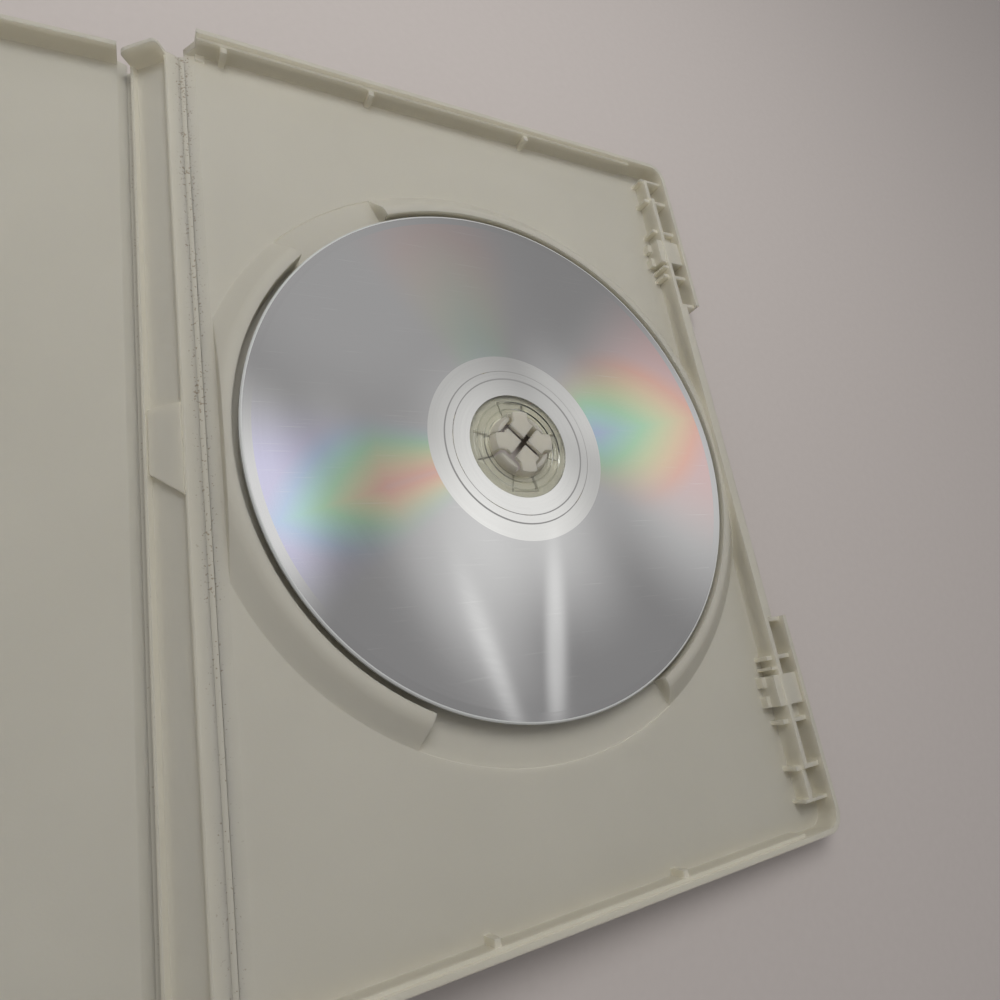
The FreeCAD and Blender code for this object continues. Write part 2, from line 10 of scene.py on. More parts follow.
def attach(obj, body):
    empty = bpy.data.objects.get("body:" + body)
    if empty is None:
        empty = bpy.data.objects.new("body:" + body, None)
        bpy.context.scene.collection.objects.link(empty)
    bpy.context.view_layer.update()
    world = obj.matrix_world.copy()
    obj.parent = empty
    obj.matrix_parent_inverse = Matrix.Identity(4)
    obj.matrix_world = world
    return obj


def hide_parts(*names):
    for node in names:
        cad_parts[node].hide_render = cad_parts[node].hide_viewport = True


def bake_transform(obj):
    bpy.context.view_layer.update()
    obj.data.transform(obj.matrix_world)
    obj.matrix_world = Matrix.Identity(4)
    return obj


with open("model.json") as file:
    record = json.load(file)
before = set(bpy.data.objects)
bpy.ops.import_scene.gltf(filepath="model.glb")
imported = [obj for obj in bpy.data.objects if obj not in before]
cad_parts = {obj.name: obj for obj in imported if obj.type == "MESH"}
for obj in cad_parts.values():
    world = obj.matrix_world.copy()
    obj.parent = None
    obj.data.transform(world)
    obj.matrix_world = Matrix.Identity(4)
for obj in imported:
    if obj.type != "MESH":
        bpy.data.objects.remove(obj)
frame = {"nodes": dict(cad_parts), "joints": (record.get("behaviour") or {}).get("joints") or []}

bl_info = {
    "name": "Game Disc Case",
    "version": (1, 0, 0),
    "blender": (4, 5, 0),
    "location": "3D View > Sidebar > Disc Case",
    "description": "Finishes the solids of an open game disc case and builds its disc and hinge films",
    "category": "Add Mesh",
}

MM = 0.001
FULL_TURN = 2 * math.pi
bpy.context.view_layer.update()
JOINTS = {joint["name"]: joint for joint in frame["joints"]}
FINGERS = ("hub_finger_right", "hub_finger_top", "hub_finger_left", "hub_finger_bottom")
MOULDED = ("disc_tray", "spine", "front_cover") + FINGERS
TRAY_FOLD = Vector(JOINTS["tray_hinge"]["pos_m"])
COVER_FOLD = Vector(JOINTS["cover_hinge"]["pos_m"])

# The tray's own axes: x from the hinge to the opening edge, z out of the tray, with the disc's middle on
# the tray's outer face as the starting point. The fingers' hinge lines lie at their pivot height above it.
TRAY_X = Vector(JOINTS["press_top"]["axis"])
TRAY_Y = Vector((0.0, 1.0, 0.0))
TRAY_Z = TRAY_X.cross(TRAY_Y)
TRAY_TURN = Matrix((TRAY_X, TRAY_Y, TRAY_Z)).transposed()
FINGER_PIVOT = 3.05 * MM
FINGER_MIDDLE = (Vector(JOINTS["press_right"]["pos_m"]) + Vector(JOINTS["press_left"]["pos_m"])) / 2
TRAY_PLACE = Matrix.Translation(FINGER_MIDDLE - TRAY_Z * FINGER_PIVOT) @ TRAY_TURN.to_4x4()
TO_TRAY = TRAY_PLACE.inverted()

# The ways from the cover's hinge: up the spine, and out along the cover, which lies flat.
SPINE_X = (TRAY_FOLD - COVER_FOLD).normalized()
COVER_X = Vector((-1.0, 0.0, 0.0))

# Steps of the rounded shapes, the angles between faces that count as flat, as sharp and as an edge to round,
# and the distance within which two corners are one.
RING_STEPS = 224
FILM_STEPS = 8
ROUNDING_STEPS = 2
FLAT_ANGLE = math.radians(0.5)
SHARP_ANGLE = math.radians(30.0)
ROUNDING_ANGLE = math.radians(35.0)
SAME_POINT = 0.001 * MM

# The colour sockets of a Mix node.
UNDER, OVER, MIXED = 6, 7, 2

# Half the floor's width, the sensor that the lens is given for, and where the camera starts to see.
FLOOR_REACH = 3.0
SENSOR = 36.0
NEAREST = 5 * MM


def linear(hex_text):
    """Linear colour of an sRGB hex value."""
    parts = [int(hex_text[place:place + 2], 16) / 255 for place in (0, 2, 4)]
    return tuple(v / 12.92 if v <= 0.04045 else ((v + 0.055) / 1.055) ** 2.4 for v in parts) + (1.0,)


def length(name, description, millimetres):
    """A size that a user can change."""
    return FloatProperty(name=name, description=description, default=millimetres * MM, unit="LENGTH",
                         precision=5)


def position(name, description, millimetres):
    """A place that a user can change."""
    default = [part * MM for part in millimetres]
    return FloatVectorProperty(name=name, description=description, default=default, subtype="TRANSLATION",
                               unit="LENGTH")


def colour(name, description, hex_text):
    """A colour that a user can change."""
    return FloatVectorProperty(name=name, description=description, default=linear(hex_text), size=4, min=0.0,
                               max=1.0, subtype="COLOR")


class CaseSizes(bpy.types.PropertyGroup):
    """Sizes of the moulded case."""
    edge_round: length("Edge rounding", "Rounding of the moulded edges", 0.08)
    finger_round: length("Finger rounding", "Rounding of the hub fingers' edges", 0.04)
    film_reach: length("Film reach", "Half the width of a hinge film", 0.5)
    film_thick: length("Film thickness", "Thickness of a hinge film", 0.4)
    film_end: length("Film end", "From the middle of the case's height to the end of a hinge film", 92.7)


class DiscSizes(bpy.types.PropertyGroup):
    """Sizes of the disc, from its middle and its underside."""
    seat: length("Seat height", "Underside of the disc above the tray's outer face", 3.8)
    thickness: length("Thickness", "Thickness of the disc", 1.2)
    radius: length("Radius", "Outer radius", 60.0)
    hole: length("Hole radius", "Radius of the middle hole", 7.5)
    mirror_start: length("Mirror start", "Where the mirror layer starts, outside the clear middle", 12.4)
    groove_inner: length("Inner groove", "Radius of the inner fine line in the clear middle", 8.9)
    groove_outer: length("Outer groove", "Radius of the outer fine line in the clear middle", 10.6)
    ring_start: length("Ring start", "Inner radius of the stacking ring", 16.6)
    ring_end: length("Ring end", "Outer radius of the stacking ring", 18.3)
    ring_height: length("Ring height", "Height of the stacking ring", 0.2)
    ring_slope: length("Ring slope", "Width of the stacking ring's slopes", 0.28)
    groove: length("Groove", "Depth of the fine lines in the clear middle", 0.2)
    track_start: length("Track start", "Where the fine tracks that show colours start", 22.3)
    track_end: length("Track end", "Where the fine tracks end", 57.8)
    mirror_end: length("Mirror end", "Where the mirror layer ends, inside the clear rim", 59.5)
    edge: length("Edge break", "Rounding of the disc's edges", 0.25)
    lift: length("Lift", "Hair of air between the clear middle and its seat", 0.04)


class CaseColours(bpy.types.PropertyGroup):
    """Colours of the case, the disc and the stage."""
    moulding_pale: colour("Moulding, pale", "Off-white of the moulding", "BDB9AC")
    moulding_deep: colour("Moulding, deep", "Slightly darker patches of the moulding", "B4B0A3")
    dirt: colour("Dirt", "Specks that gather along the hinges", "7A6750")
    silver: colour("Silver", "Mirror layer under the tracks", "D0D0CF")
    bright_silver: colour("Bright silver", "Mirror layer without tracks", "F0F0EC")
    dull_silver: colour("Dull silver", "Faint rings in the mirror layer's outer band", "C4C4C3")
    rim_pale: colour("Disc rim, pale", "Clear rim of the disc", "D6D8D5")
    rim_deep: colour("Disc rim, deep", "Hazy places of the disc's rim", "CED0CD")
    lacquer_pale: colour("Lacquer, pale", "Plain lacquer on the disc's underside", "C8C8C6")
    lacquer_deep: colour("Lacquer, deep", "Thinner places of the lacquer", "BEBEBC")
    clear_pale: colour("Clear plastic, pale", "Clear middle of the disc", "D5D6CE")
    clear_deep: colour("Clear plastic, deep", "Hazy places of the clear middle", "CFD0C6")
    floor_pale: colour("Floor, pale", "Pale table under the case", "C5BDB8")
    floor_deep: colour("Floor, deep", "Grain of the table", "C1B9B4")
    dome: colour("Dome", "Even light of the studio", "999899")


class LampPlace(bpy.types.PropertyGroup):
    """The soft lamp over the upper edge of the tray."""
    stand: position("Stand", "Where the lamp stands", (20.0, 190.0, 380.0))
    aim: position("Aim", "What the lamp points at", (60.0, 30.0, 0.0))
    width: length("Width", "Width of the lamp", 260.0)
    power: FloatProperty(name="Power", description="Power of the lamp", default=0.97, unit="POWER")


class CameraPlace(bpy.types.PropertyGroup):
    """Place of the camera, from the disc's middle on the tray's outer face, in the tray's axes."""
    stand: position("Stand", "Where the camera stands", (-84.02, -54.33, 130.53))
    aim: position("Aim", "What the camera looks at", (-7.497, -12.872, 5.0))
    roll: FloatProperty(name="Roll", description="Turn about the line of sight",
                        default=math.radians(-10.004), subtype="ANGLE")
    lens: FloatProperty(name="Lens", description="Focal length on a 36 mm sensor, in millimetres",
                        default=25.605)


def add_node(tree, kind, inputs=(), stops=(), **settings):
    """Adds a node with its settings, socket values or links, and colour stops."""
    made = tree.nodes.new(kind)
    for name, value in settings.items():
        setattr(made, name, value)
    for key, value in dict(inputs).items():
        if isinstance(value, bpy.types.NodeSocket):
            tree.links.new(value, made.inputs[key])
        else:
            made.inputs[key].default_value = value
    if stops:
        band = made.color_ramp.elements
        while len(band) < len(stops):
            band.new(1.0)
        for element, (place, shade) in zip(band, stops):
            element.position = place
            element.color = shade
    return made


def new_material(name):
    """A material without nodes, and its node tree."""
    made = bpy.data.materials.new(name)
    made.use_nodes = True
    made.node_tree.nodes.clear()
    return made, made.node_tree


# The dust along the hinges. Beside each fold it is full up to the first distance and gone at the second, and
# the cover's fold has a smaller share. Its specks crowd in patches. It thickens over a stretch of the case's
# height, from the lower to the upper amount. A speck starts at the first level and is full at the second,
# but it never hides the plastic. A face gets its full share once its normal rises as far as the slope.
TRAY_DUST = (0.8 * MM, 3.2 * MM)
COVER_DUST = (0.1 * MM, 1.2 * MM)
COVER_DUST_SHARE = 0.75
SPECK = 0.5 * MM
SPECK_PATCH = 7 * MM
SPECK_PATCH_SHARE = 0.22
DUST_STRETCH = (-60 * MM, 80 * MM)
DUST_AMOUNT = (0.1, 0.19)
SPECK_LEVEL = (0.875, 0.95)
SPECK_COVER = 0.62
DUST_SLOPE = 0.3

# The moulding's cloudy patches, its fine grain, and how deep light gets into it.
CLOUD = 36 * MM
MOULD_GRAIN = 0.45 * MM
MOULD_GRAIN_DEPTH = 0.05 * MM
GLOW_DEPTH = 3.0 * MM


def near_fold(tree, across, fold, distances):
    """1 beside a hinge's fold, falling to 0 from the first distance to the second."""
    away = add_node(tree, "ShaderNodeMath", {0: across, 1: fold.x}, operation="SUBTRACT")
    near = add_node(tree, "ShaderNodeMath", {0: away.outputs[0]}, operation="ABSOLUTE")
    full, gone = distances
    return add_node(tree, "ShaderNodeMapRange", {
        "Value": near.outputs[0], "From Min": full, "From Max": gone,
        "To Min": 1.0, "To Max": 0.0}).outputs[0]


def hinge_dust(tree, given):
    """Share of a place that dust covers: loose specks on the upper faces along the hinges."""
    place = given.outputs["Object"]
    spot = add_node(tree, "ShaderNodeSeparateXYZ", {"Vector": place})
    tray_side = near_fold(tree, spot.outputs["X"], TRAY_FOLD, TRAY_DUST)
    cover_side = near_fold(tree, spot.outputs["X"], COVER_FOLD, COVER_DUST)
    both = add_node(tree, "ShaderNodeMath", {0: cover_side, 1: COVER_DUST_SHARE, 2: tray_side},
                    operation="MULTIPLY_ADD")
    facing = add_node(tree, "ShaderNodeSeparateXYZ", {"Vector": given.outputs["Normal"]})
    upper = add_node(tree, "ShaderNodeMapRange", {"Value": facing.outputs["Z"], "From Max": DUST_SLOPE})
    folds = add_node(tree, "ShaderNodeMath", {0: both.outputs[0], 1: upper.outputs[0]}, operation="MULTIPLY")
    specks = add_node(tree, "ShaderNodeTexNoise", {"Vector": place, "Scale": 1.0 / SPECK, "Detail": 1.0})
    patches = add_node(tree, "ShaderNodeTexNoise", {
        "Vector": place, "Scale": 1.0 / SPECK_PATCH, "Detail": 1.0})
    crowd = add_node(tree, "ShaderNodeMath", {
        0: patches.outputs[0], 1: SPECK_PATCH_SHARE, 2: specks.outputs[0]}, operation="MULTIPLY_ADD")
    share = add_node(tree, "ShaderNodeMapRange", {
        "Value": spot.outputs["Y"], "From Min": DUST_STRETCH[0], "From Max": DUST_STRETCH[1],
        "To Min": DUST_AMOUNT[0], "To Max": DUST_AMOUNT[1]})
    dusty = add_node(tree, "ShaderNodeMath", {0: folds.outputs[0], 1: share.outputs[0], 2: crowd.outputs[0]},
                     operation="MULTIPLY_ADD")
    chosen = add_node(tree, "ShaderNodeMapRange", {
        "Value": dusty.outputs[0], "From Min": SPECK_LEVEL[0], "From Max": SPECK_LEVEL[1],
        "To Max": SPECK_COVER})
    return add_node(tree, "ShaderNodeMath", {0: chosen.outputs[0], 1: folds.outputs[0]},
                    operation="MULTIPLY").outputs[0]


def moulding_finish(name, colours, glow):
    """Polypropylene, injection moulded, satin: a milky off-white that lets a little light in, with a fine
    even grain that dulls the gloss, faint cloudy patches, and brown dust that sits in the folds of the
    hinges."""
    made, tree = new_material(name)
    given = add_node(tree, "ShaderNodeTexCoord")
    place = given.outputs["Object"]
    cloud = add_node(tree, "ShaderNodeTexNoise", {"Vector": place, "Scale": 1.0 / CLOUD, "Detail": 3.0})
    tone = add_node(tree, "ShaderNodeMix", {
        "Factor": cloud.outputs[0], UNDER: colours.moulding_pale, OVER: colours.moulding_deep},
                    data_type="RGBA")
    shade = add_node(tree, "ShaderNodeMix", {
        "Factor": hinge_dust(tree, given), UNDER: tone.outputs[MIXED], OVER: colours.dirt}, data_type="RGBA")
    grain = add_node(tree, "ShaderNodeTexNoise", {
        "Vector": place, "Scale": 1.0 / MOULD_GRAIN, "Detail": 2.0})
    bump = add_node(tree, "ShaderNodeBump", {
        "Height": grain.outputs[0], "Strength": 0.15, "Distance": MOULD_GRAIN_DEPTH})
    gloss = add_node(tree, "ShaderNodeMapRange", {"Value": cloud.outputs[0], "To Min": 0.4, "To Max": 0.52})
    skin = add_node(tree, "ShaderNodeBsdfPrincipled", {
        "Base Color": shade.outputs[MIXED], "Roughness": gloss.outputs[0], "IOR": 1.49,
        "Normal": bump.outputs[0],
        "Subsurface Weight": glow, "Subsurface Radius": (1.0, 0.95, 0.8), "Subsurface Scale": GLOW_DEPTH},
                    subsurface_method="BURLEY")
    add_node(tree, "ShaderNodeOutputMaterial", {"Surface": skin.outputs[0]})
    return made


# Colours of the painted sheen: the light that the tracks split, painted into the silver, from the short end
# to the long end.
PAINTED_SHEEN_SPECTRUM = (
    (0.0, linear("CCCAE4")), (0.16, linear("BCD0E8")), (0.3, linear("B8DFDA")), (0.45, linear("BCE6C2")),
    (0.6, linear("DAE2BA")), (0.74, linear("EED6B6")), (0.87, linear("F4C4B2")), (1.0, linear("E8C9C6")),
)

# The fans of painted sheen, split colours painted into the silver. "middle", "half_width" and "core" are
# degrees, turned from the opening edge.
# "near" and "far" hold a distance from the disc's middle in millimetres and the place in the spectrum there,
# along the core. "by_side" is how far that place moves for a full turn away from the core.
PAINTED_SHEEN_FANS = (
    {"middle": 12.0, "half_width": 44.0, "strength": 0.9, "core": 10.0,
     "near": (24.0, 0.14), "far": (61.0, 0.9), "by_side": 5.5},
    {"middle": 193.0, "half_width": 25.0, "strength": 0.85, "core": 197.0,
     "near": (34.0, 0.92), "far": (58.0, 0.12), "by_side": -10.0},
    {"middle": 104.0, "half_width": 26.0, "strength": 0.25, "core": 104.0,
     "near": (22.0, 0.35), "far": (58.0, 0.9), "by_side": 2.0},
)

# The share of a fan's width that is full, and the polar map's turn at the opening edge.
FAN_CORE = 0.3
OPENING_EDGE = 0.25

# The real tracks are far too fine to show, so the mirror's grain is drawn as rings of these widths, which
# change this many times in a turn. The scratches lie at one slant.
TRACK_RING = 0.4 * MM
TRACK_CHANGES = 9.0
PLAIN_RING = 2 / 3 * MM
PLAIN_CHANGES = 4.0
SCRATCH_LENGTH = 16 * MM
SCRATCH_WIDTH = 0.35 * MM
SCRATCH_SLANT = 0.6


def away_from(tree, turn, degrees):
    """Share of a full turn between a place on the disc and one direction from its middle."""
    direction = OPENING_EDGE + math.radians(degrees) / FULL_TURN
    off = add_node(tree, "ShaderNodeMath", {0: turn, 1: direction}, operation="SUBTRACT")
    return add_node(tree, "ShaderNodeMath", {0: off.outputs[0]}, operation="ABSOLUTE").outputs[0]


def painted_sheen_fan(tree, turn, reach, under, radius, fan):
    """Lays a soft fan of painted sheen, split colours painted over the silver, round one direction from the
    disc's middle.
    """
    near, near_place = fan["near"]
    far, far_place = fan["far"]
    outward = add_node(tree, "ShaderNodeMapRange", {
        "Value": reach, "From Min": near * MM / radius, "From Max": far * MM / radius,
        "To Min": near_place, "To Max": far_place})
    place = add_node(tree, "ShaderNodeMath", {
        0: away_from(tree, turn, fan["core"]), 1: fan["by_side"], 2: outward.outputs[0]},
                     operation="MULTIPLY_ADD")
    painted_split = add_node(tree, "ShaderNodeValToRGB", {0: place.outputs[0]}, stops=PAINTED_SHEEN_SPECTRUM)
    half_width = math.radians(fan["half_width"]) / FULL_TURN
    amount = add_node(tree, "ShaderNodeMapRange", {
        "Value": away_from(tree, turn, fan["middle"]), "From Min": FAN_CORE * half_width,
        "From Max": half_width, "To Min": fan["strength"], "To Max": 0.0}, interpolation_type="SMOOTHSTEP")
    return add_node(tree, "ShaderNodeMix", {
        "Factor": amount.outputs[0], UNDER: under, OVER: painted_split.outputs[0]}, data_type="RGBA").outputs[MIXED]


def ring_grain(tree, chart, changes, width, radius):
    """A grain of fine rings round the disc's middle."""
    around = add_node(tree, "ShaderNodeMapping", {"Vector": chart, "Scale": (changes, radius / width, 1.0)})
    return add_node(tree, "ShaderNodeTexNoise", {
        "Vector": around.outputs[0], "Scale": 1.0, "Detail": 2.0}).outputs[0]


def tracked_mirror(radius, colours):
    """Aluminised polycarbonate with fine ring tracks: silver that draws each light out into a streak towards
    the middle, soft fans of split colours painted into the silver as painted sheen, and hair-fine scratches."""
    made, tree = new_material("Aluminised polycarbonate, tracked")
    chart = add_node(tree, "ShaderNodeUVMap", uv_map="polar").outputs[0]
    polar = add_node(tree, "ShaderNodeSeparateXYZ", {"Vector": chart})
    shade = colours.silver
    # Fans of painted sheen: split colours painted over the silver.
    for fan in PAINTED_SHEEN_FANS:
        shade = painted_sheen_fan(tree, polar.outputs["X"], polar.outputs["Y"], shade, radius, fan)
    place = add_node(tree, "ShaderNodeTexCoord").outputs["Object"]
    slanted = add_node(tree, "ShaderNodeMapping", {
        "Vector": place, "Rotation": (0.0, 0.0, SCRATCH_SLANT),
        "Scale": (1.0 / SCRATCH_LENGTH, 1.0 / SCRATCH_WIDTH, 1.0)})
    hairs = add_node(tree, "ShaderNodeTexNoise", {"Vector": slanted.outputs[0], "Scale": 1.0, "Detail": 1.0})
    marks = add_node(tree, "ShaderNodeMapRange", {
        "Value": hairs.outputs[0], "From Min": 0.66, "From Max": 0.8, "To Max": 0.25})
    worn = add_node(tree, "ShaderNodeMix", {
        "Factor": marks.outputs[0], UNDER: shade, OVER: colours.bright_silver}, data_type="RGBA")
    rings = ring_grain(tree, chart, TRACK_CHANGES, TRACK_RING, radius)
    gloss = add_node(tree, "ShaderNodeMapRange", {
        "Value": rings, "From Min": 0.3, "From Max": 0.7, "To Min": 0.055, "To Max": 0.065})
    grooves = add_node(tree, "ShaderNodeTangent", direction_type="UV_MAP", uv_map="polar")
    skin = add_node(tree, "ShaderNodeBsdfPrincipled", {
        "Base Color": worn.outputs[MIXED], "Metallic": 1.0, "Roughness": gloss.outputs[0],
        "Anisotropic": 1.0, "Anisotropic Rotation": 0.25, "Tangent": grooves.outputs[0],
        "Coat Weight": 0.12, "Coat Roughness": 0.03})
    add_node(tree, "ShaderNodeOutputMaterial", {"Surface": skin.outputs[0]})
    return made


def plain_mirror(name, radius, pale, deep):
    """Aluminised polycarbonate without tracks: clearer silver with a faint ring grain."""
    made, tree = new_material(name)
    chart = add_node(tree, "ShaderNodeUVMap", uv_map="polar").outputs[0]
    rings = ring_grain(tree, chart, PLAIN_CHANGES, PLAIN_RING, radius)
    dull = add_node(tree, "ShaderNodeMapRange", {"Value": rings, "To Max": 0.3})
    shade = add_node(tree, "ShaderNodeMix", {"Factor": dull.outputs[0], UNDER: pale, OVER: deep},
                     data_type="RGBA")
    gloss = add_node(tree, "ShaderNodeMapRange", {"Value": rings, "To Min": 0.05, "To Max": 0.08})
    skin = add_node(tree, "ShaderNodeBsdfPrincipled", {
        "Base Color": shade.outputs[MIXED], "Metallic": 1.0, "Roughness": gloss.outputs[0],
        "Coat Weight": 0.25, "Coat Roughness": 0.03})
    add_node(tree, "ShaderNodeOutputMaterial", {"Surface": skin.outputs[0]})
    return made


# Width of the hazy places on polished plastic.
HAZE = 4 * MM


def polished_plastic(name, pale, deep, clearness):
    """Polycarbonate, moulded and polished, or a lacquer on it: glossy, clear or pale, with a faint haze of
    handling."""
    made, tree = new_material(name)
    place = add_node(tree, "ShaderNodeTexCoord").outputs["Object"]
    haze = add_node(tree, "ShaderNodeTexNoise", {"Vector": place, "Scale": 1.0 / HAZE, "Detail": 3.0})
    shade = add_node(tree, "ShaderNodeMix", {"Factor": haze.outputs[0], UNDER: pale, OVER: deep},
                     data_type="RGBA")
    gloss = add_node(tree, "ShaderNodeMapRange", {"Value": haze.outputs[0], "To Min": 0.04, "To Max": 0.12})
    skin = add_node(tree, "ShaderNodeBsdfPrincipled", {
        "Base Color": shade.outputs[MIXED], "Roughness": gloss.outputs[0], "IOR": 1.585,
        "Transmission Weight": clearness})
    add_node(tree, "ShaderNodeOutputMaterial", {"Surface": skin.outputs[0]})
    return made


# Width of the grain in the table's paint.
TABLE_GRAIN = 2 * MM


def painted_table(colours):
    """Paint, rolled on and matt: a pale warm grey with a fine grain."""
    made, tree = new_material("Painted table, matt")
    place = add_node(tree, "ShaderNodeTexCoord").outputs["Object"]
    grain = add_node(tree, "ShaderNodeTexNoise", {
        "Vector": place, "Scale": 1.0 / TABLE_GRAIN, "Detail": 2.0})
    shade = add_node(tree, "ShaderNodeMix", {
        "Factor": grain.outputs[0], UNDER: colours.floor_pale, OVER: colours.floor_deep}, data_type="RGBA")
    gloss = add_node(tree, "ShaderNodeMapRange", {"Value": grain.outputs[0], "To Min": 0.6, "To Max": 0.75})
    skin = add_node(tree, "ShaderNodeBsdfPrincipled", {
        "Base Color": shade.outputs[MIXED], "Roughness": gloss.outputs[0]})
    add_node(tree, "ShaderNodeOutputMaterial", {"Surface": skin.outputs[0]})
    return made


def finished(name, shape, finishes):
    """Makes an object of the shape, smooth but for its sharp edges."""
    mesh = bpy.data.meshes.new(name)
    shape.to_mesh(mesh)
    shape.free()
    mesh.shade_smooth()
    mesh.set_sharp_from_angle(angle=SHARP_ANGLE)
    for finish in finishes:
        mesh.materials.append(finish)
    made = bpy.data.objects.new(name, mesh)
    bpy.context.scene.collection.objects.link(made)
    return made


def soften(piece, width):
    """Joins a moulded solid's facets, clears its flat faces of needless edges and rounds its sharp ones."""
    weld = piece.modifiers.new("Join facets", "WELD")
    weld.merge_threshold = SAME_POINT
    flat = piece.modifiers.new("Flat faces", "DECIMATE")
    flat.decimate_type = "DISSOLVE"
    flat.angle_limit = FLAT_ANGLE
    soft = piece.modifiers.new("Soft edges", "BEVEL")
    soft.width = width
    soft.segments = ROUNDING_STEPS
    soft.limit_method = "ANGLE"
    soft.angle_limit = ROUNDING_ANGLE
    soft.use_clamp_overlap = False
    even = piece.modifiers.new("Even shading", "WEIGHTED_NORMAL")
    even.keep_sharp = False


def middle_of(shape):
    """Mean place of a shape's corners."""
    return sum((vert.co for vert in shape.verts), Vector()) / len(shape.verts)


def film_strip(name, fold, right, left, sizes, finish):
    """A thin strip along a fold, bent from the way of one panel to the way of the other."""
    shape = bmesh.new()
    corner = fold - TRAY_Y * sizes.film_end
    first, last = corner + right * sizes.film_reach, corner + left * sizes.film_reach
    steps = [number / FILM_STEPS for number in range(FILM_STEPS + 1)]
    route = [first.lerp(corner, step).lerp(corner.lerp(last, step), step) for step in steps]
    bend = [shape.verts.new(spot) for spot in route]
    line = [shape.edges.new(pair) for pair in zip(bend, bend[1:])]
    swept = bmesh.ops.extrude_edge_only(shape, edges=line)
    far = [item for item in swept["geom"] if isinstance(item, bmesh.types.BMVert)]
    bmesh.ops.translate(shape, verts=far, vec=TRAY_Y * 2 * sizes.film_end)
    bmesh.ops.recalc_face_normals(shape, faces=shape.faces[:])
    # The thickness grows to one side, so the strip is set back to the middle of its bend.
    sheet = middle_of(shape)
    bmesh.ops.solidify(shape, geom=shape.faces[:], thickness=sizes.film_thick)
    bmesh.ops.translate(shape, verts=shape.verts[:], vec=sheet - middle_of(shape))
    bmesh.ops.recalc_face_normals(shape, faces=shape.faces[:])
    return finished(name, shape, [finish])


def turn_of(spot):
    """Turn of a place round the disc's axis, from the lower edge."""
    return math.atan2(spot.x, -spot.y)


def turned_ring(name, profile, sizes, finishes):
    """Turns a closed profile of (distance from the axis, height) round the disc's axis and sets it on its
    seat in the tray. Its polar map holds the turn from the lower edge and the share of the disc's radius."""
    shape = bmesh.new()
    corners = [shape.verts.new((away, 0.0, height)) for away, height in profile]
    edges = [shape.edges.new(pair) for pair in zip(corners, corners[1:] + corners[:1])]
    bmesh.ops.spin(shape, geom=corners + edges, cent=(0, 0, 0), axis=(0, 0, 1), dvec=(0, 0, 0),
                   angle=FULL_TURN, steps=RING_STEPS, use_merge=True, use_duplicate=False)
    bmesh.ops.remove_doubles(shape, verts=shape.verts[:], dist=SAME_POINT)
    bmesh.ops.recalc_face_normals(shape, faces=shape.faces[:])
    chart = shape.loops.layers.uv.new("polar")
    for face in shape.faces:
        facing = turn_of(face.calc_center_median()) % FULL_TURN
        for loop in face.loops:
            spot = loop.vert.co
            turn = (turn_of(spot) - facing + math.pi) % FULL_TURN - math.pi
            loop[chart].uv = ((facing + turn) / FULL_TURN, spot.xy.length / sizes.radius)
    seat = TRAY_PLACE @ Matrix.Translation((0, 0, sizes.seat))
    bmesh.ops.transform(shape, matrix=seat, verts=shape.verts[:])
    return finished(name, shape, finishes)


# Places of the finishes in the mirror part's list, and how far a face turns down to belong to the underside.
TRACKED, PLAIN, RIM, LACQUER, OUTER_BAND = range(5)
UNDERSIDE = -0.5


def mirror_part_finish(face, sizes):
    """Which finish a face of the disc's mirror part shows."""
    reach = (TO_TRAY @ face.center).xy.length
    if face.normal.dot(TRAY_Z) < UNDERSIDE:
        return LACQUER
    if reach > sizes.mirror_end:
        return RIM
    if reach > sizes.track_end:
        return OUTER_BAND
    if reach < sizes.track_start:
        return PLAIN
    return TRACKED


def mirror_part(sizes, colours):
    """The disc's mirror layer with its stacking ring, clear rim and lacquered underside."""
    radius, edge, top = sizes.radius, sizes.edge, sizes.thickness
    profile = [
        (sizes.mirror_start, 0.0),
        (radius - edge, 0.0),
        (radius, edge),
        (radius, top - edge),
        (radius - edge, top),
        (sizes.mirror_end, top),
        (sizes.track_end, top),
        (sizes.track_start, top),
        (sizes.ring_end + sizes.ring_slope, top),
        (sizes.ring_end, top + sizes.ring_height),
        (sizes.ring_start, top + sizes.ring_height),
        (sizes.ring_start - sizes.ring_slope, top),
        (sizes.mirror_start, top),
    ]
    finishes = [
        tracked_mirror(radius, colours),
        plain_mirror("Aluminised polycarbonate, plain", radius, colours.bright_silver, colours.silver),
        polished_plastic("Polished polycarbonate, pale rim", colours.rim_pale, colours.rim_deep,
                         clearness=0.1),
        polished_plastic("Lacquer, plain pale grey", colours.lacquer_pale, colours.lacquer_deep,
                         clearness=0.0),
        plain_mirror("Aluminised polycarbonate, outer band", radius, colours.silver, colours.dull_silver),
    ]
    made = turned_ring("disc_mirror_part", profile, sizes, finishes)
    for face in made.data.polygons:
        face.material_index = mirror_part_finish(face, sizes)
    return made


def clear_middle(sizes, colours):
    """The disc's clear middle with its two fine lines, which hardly shades the hub's seat."""
    hole, edge, groove, top = sizes.hole, sizes.edge, sizes.groove, sizes.thickness
    profile = [
        (hole + edge, sizes.lift),
        (sizes.mirror_start, sizes.lift),
        (sizes.mirror_start, top),
        (sizes.groove_outer + groove, top),
        (sizes.groove_outer, top - groove),
        (sizes.groove_outer - groove, top),
        (sizes.groove_inner + groove, top),
        (sizes.groove_inner, top - groove),
        (sizes.groove_inner - groove, top),
        (hole + edge, top),
        (hole, top - edge),
        (hole, edge),
    ]
    clear = polished_plastic("Polished polycarbonate, clear", colours.clear_pale, colours.clear_deep,
                             clearness=1.0)
    made = turned_ring("disc_clear_middle", profile, sizes, [clear])
    made.visible_shadow = False
    return made


